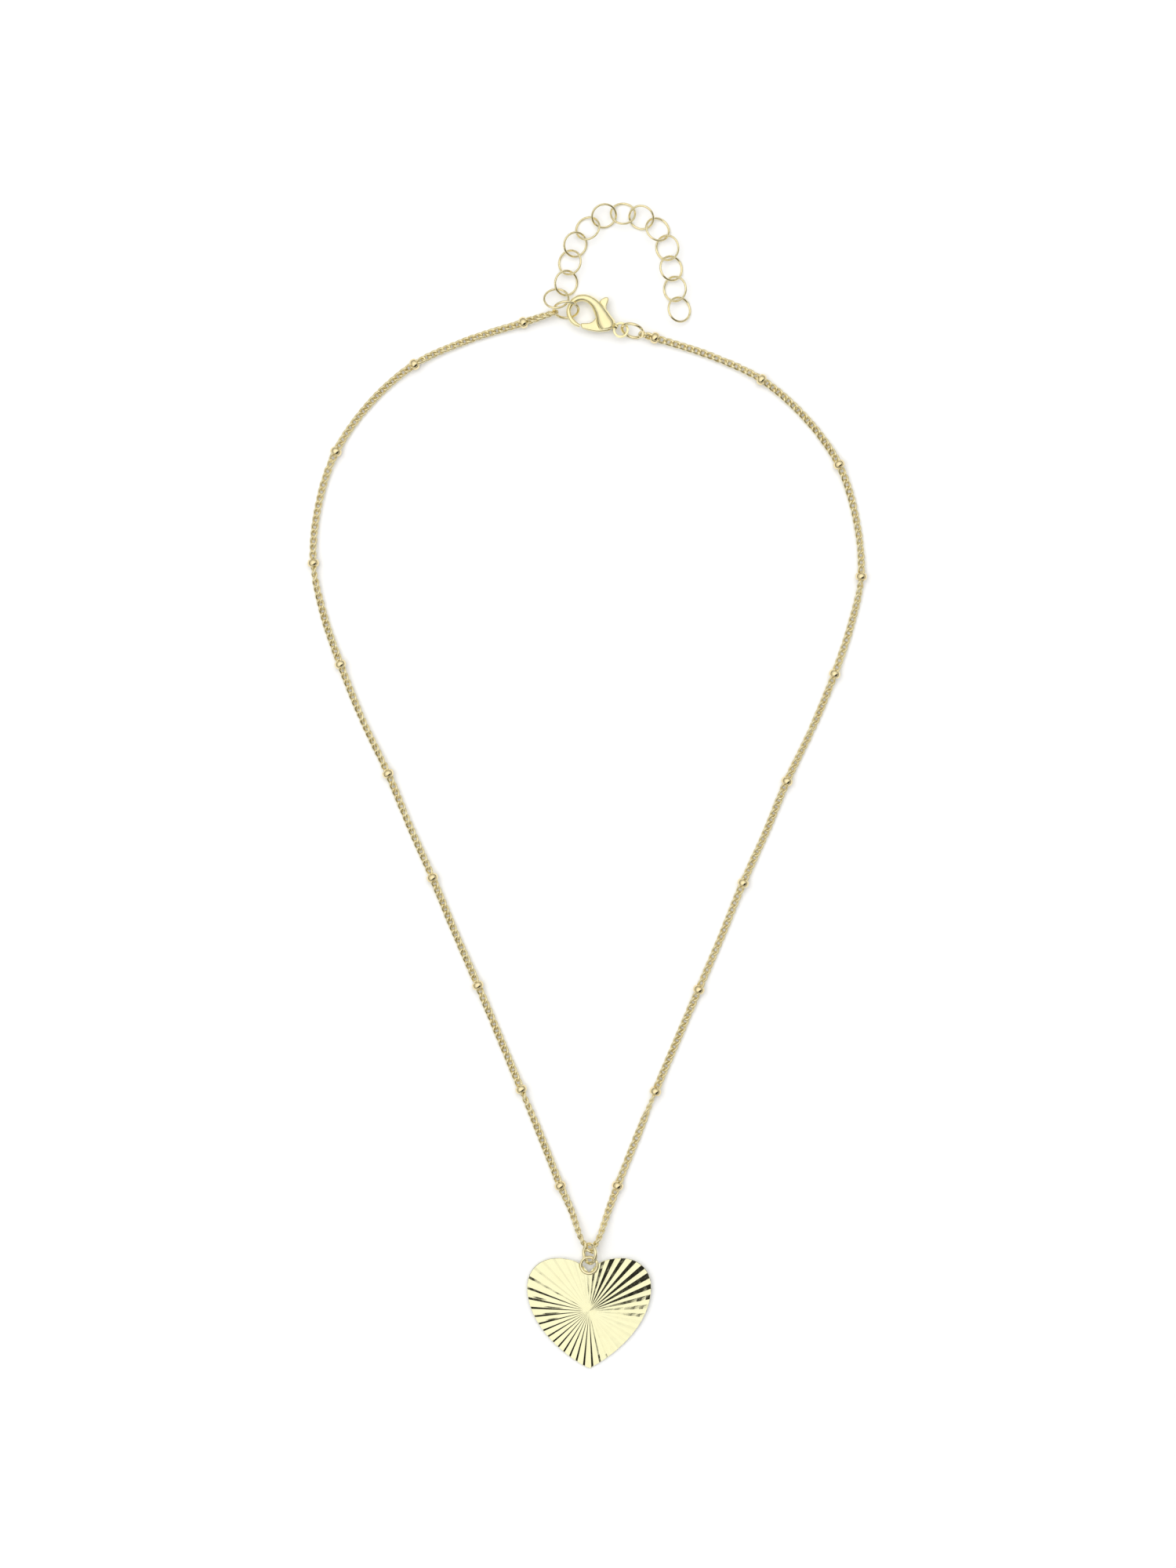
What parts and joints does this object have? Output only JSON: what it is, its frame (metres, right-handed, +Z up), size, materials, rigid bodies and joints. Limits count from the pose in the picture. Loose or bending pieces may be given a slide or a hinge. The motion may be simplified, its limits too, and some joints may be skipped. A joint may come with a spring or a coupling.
{
  "type": "pendant necklace",
  "caption": "Fine beaded curb chain necklace with a heart disc pendant on a jump ring, a lobster clasp and an extender of round rings, lying flat.",
  "frame": {"origin": "on the table, at the middle of the necklace's outline, flat on its back", "axes": "+X to the right seen from the front, +Y from the heart towards the clasp, +Z up from the table, out of the heart's front"},
  "size_m": [0.1034, 0.2156, 0.0042],
  "materials": {
    "chain": "pale gold plating, bright",
    "beads": "pale gold plating, polished",
    "heart": "pale gold plating, diamond cut and mirror polished",
    "rings": "pale gold plating, polished wire",
    "clasp": "pale gold plating, polished casting",
    "rivet": "pale gold plating",
    "spring": "bare spring steel"
  },
  "bodies": {
    "necklace": {"chain_front": "chain", "chain_left_end": "chain"},
    "left_half": {"chain_left_01": "chain", "chain_left_02": "chain", "chain_left_03": "chain", "chain_left_04": "chain", "chain_left_05": "chain", "chain_left_06": "chain", "chain_left_07": "chain", "chain_left_08": "chain", "chain_left_09": "chain", "bead_left_02": "beads", "bead_left_03": "beads", "bead_left_04": "beads", "bead_left_05": "beads", "bead_left_06": "beads", "bead_left_07": "beads", "bead_left_08": "beads", "bead_left_09": "beads", "bead_left_10": "beads"},
    "right_half": {"chain_right_01": "chain", "chain_right_02": "chain", "chain_right_03": "chain", "chain_right_04": "chain", "chain_right_05": "chain", "chain_right_06": "chain", "chain_right_07": "chain", "chain_right_08": "chain", "chain_right_09": "chain", "bead_right_02": "beads", "bead_right_03": "beads", "bead_right_04": "beads", "bead_right_05": "beads", "bead_right_06": "beads", "bead_right_07": "beads", "bead_right_08": "beads", "bead_right_09": "beads", "bead_right_10": "beads"},
    "end_ring": {"end_ring": "rings"},
    "extender_01": {"extender_link_01": "rings"},
    "extender_02": {"extender_link_02": "rings"},
    "extender_03": {"extender_link_03": "rings"},
    "extender_04": {"extender_link_04": "rings"},
    "extender_05": {"extender_link_05": "rings"},
    "extender_06": {"extender_link_06": "rings"},
    "extender_07": {"extender_link_07": "rings"},
    "extender_08": {"extender_link_08": "rings"},
    "extender_09": {"extender_link_09": "rings"},
    "extender_10": {"extender_link_10": "rings"},
    "extender_11": {"extender_link_11": "rings"},
    "extender_12": {"extender_link_12": "rings"},
    "extender_13": {"extender_link_13": "rings"},
    "clasp": {"clasp_body": "clasp", "clasp_rivet": "rivet", "clasp_spring": "spring"},
    "clasp_lever": {"clasp_lever": "clasp"},
    "clasp_jump_ring": {"clasp_jump_ring": "rings"},
    "pendant_jump_ring": {"pendant_jump_ring": "rings"},
    "heart": {"heart_disc": "heart", "heart_eyelet": "rings"}
  },
  "joints": [
    {"name": "left_half_lift", "type": "hinge", "parent": "necklace", "child": "left_half", "pos_m": [-0.00476, -0.0746, 0.001], "axis": [-0.0379, 0.9993, 0.0003], "range_deg": [0, 75]},
    {"name": "right_half_lift", "type": "hinge", "parent": "necklace", "child": "right_half", "pos_m": [0.0113, 0.08297, 0.0013], "axis": [-0.0378, -0.9993, -0.0019], "range_deg": [0, 75]},
    {"name": "end_ring_roll", "type": "hinge", "parent": "necklace", "child": "end_ring", "pos_m": [-0.0039, 0.08775, 0.0022], "axis": [0.9993, -0.0366, 0], "range_deg": [0, 40]},
    {"name": "extender_01_lift", "type": "hinge", "parent": "end_ring", "child": "extender_01", "pos_m": [-0.0048, 0.08878, 0.0032], "axis": [0.7514, 0.6598, 0], "range_deg": [0, 5]},
    {"name": "extender_02_lift", "type": "hinge", "parent": "extender_01", "child": "extender_02", "pos_m": [-0.0048, 0.0913, 0.00128], "axis": [0.8575, -0.5145, 0], "range_deg": [0, 5]},
    {"name": "extender_03_lift", "type": "hinge", "parent": "extender_02", "child": "extender_03", "pos_m": [-0.00355, 0.0947, 0.00128], "axis": [0.9835, -0.1812, 0], "range_deg": [0, 5]},
    {"name": "extender_04_lift", "type": "hinge", "parent": "extender_03", "child": "extender_04", "pos_m": [-0.0027, 0.09825, 0.00128], "axis": [0.957, -0.29, 0], "range_deg": [0, 5]},
    {"name": "extender_05_lift", "type": "hinge", "parent": "extender_04", "child": "extender_05", "pos_m": [-0.00105, 0.1014, 0.00128], "axis": [0.7936, -0.6084, 0], "range_deg": [0, 5]},
    {"name": "extender_06_lift", "type": "hinge", "parent": "extender_05", "child": "extender_06", "pos_m": [0.0016, 0.10405, 0.00128], "axis": [0.6084, -0.7936, 0], "range_deg": [0, 5]},
    {"name": "extender_07_lift", "type": "hinge", "parent": "extender_06", "child": "extender_07", "pos_m": [0.00485, 0.1054, 0.00128], "axis": [0.1135, -0.9935, 0], "range_deg": [0, 5]},
    {"name": "extender_08_lift", "type": "hinge", "parent": "extender_07", "child": "extender_08", "pos_m": [0.0083, 0.10525, 0.00128], "axis": [-0.2017, -0.9795, 0], "range_deg": [0, 5]},
    {"name": "extender_09_lift", "type": "hinge", "parent": "extender_08", "child": "extender_09", "pos_m": [0.0115, 0.1038, 0.00128], "axis": [-0.5914, -0.8064, 0], "range_deg": [0, 5]},
    {"name": "extender_10_lift", "type": "hinge", "parent": "extender_09", "child": "extender_10", "pos_m": [0.0139, 0.101, 0.00128], "axis": [-0.8838, -0.4679, 0], "range_deg": [0, 5]},
    {"name": "extender_11_lift", "type": "hinge", "parent": "extender_10", "child": "extender_11", "pos_m": [0.01515, 0.0974, 0.00128], "axis": [-0.9835, -0.1812, 0], "range_deg": [0, 5]},
    {"name": "extender_12_lift", "type": "hinge", "parent": "extender_11", "child": "extender_12", "pos_m": [0.01585, 0.0936, 0.00128], "axis": [-0.9835, -0.1812, 0], "range_deg": [0, 5]},
    {"name": "extender_13_lift", "type": "hinge", "parent": "extender_12", "child": "extender_13", "pos_m": [0.0166, 0.0898, 0.00128], "axis": [-0.9785, -0.206, 0], "range_deg": [0, 5]},
    {"name": "clasp_roll", "type": "hinge", "parent": "necklace", "child": "clasp", "pos_m": [-0.00347, 0.0876, 0.0016], "axis": [0.9445, -0.3283, 0.0094], "range_deg": [0, 18]},
    {"name": "lever_turn", "type": "hinge", "parent": "clasp", "child": "clasp_lever", "pos_m": [0.00245, 0.08585, 0.0016], "axis": [0, 0, -1], "range_deg": [0, 28], "stiffness_Nm_per_rad": 0.004},
    {"name": "clasp_ring_roll", "type": "hinge", "parent": "clasp", "child": "clasp_jump_ring", "pos_m": [0.00834, 0.08393, 0.00202], "axis": [0.9816, -0.1908, 0], "range_deg": [0, 20]},
    {"name": "pendant_ring_roll", "type": "hinge", "parent": "necklace", "child": "pendant_jump_ring", "pos_m": [0.00045, -0.08635, 0.00177], "axis": [0, -1, 0], "range_deg": [0, 50]},
    {"name": "heart_swing", "type": "hinge", "parent": "pendant_jump_ring", "child": "heart", "pos_m": [0.00042, -0.0876, 0.0017], "axis": [-1, 0, 0], "range_deg": [0, 60]}
  ]
}
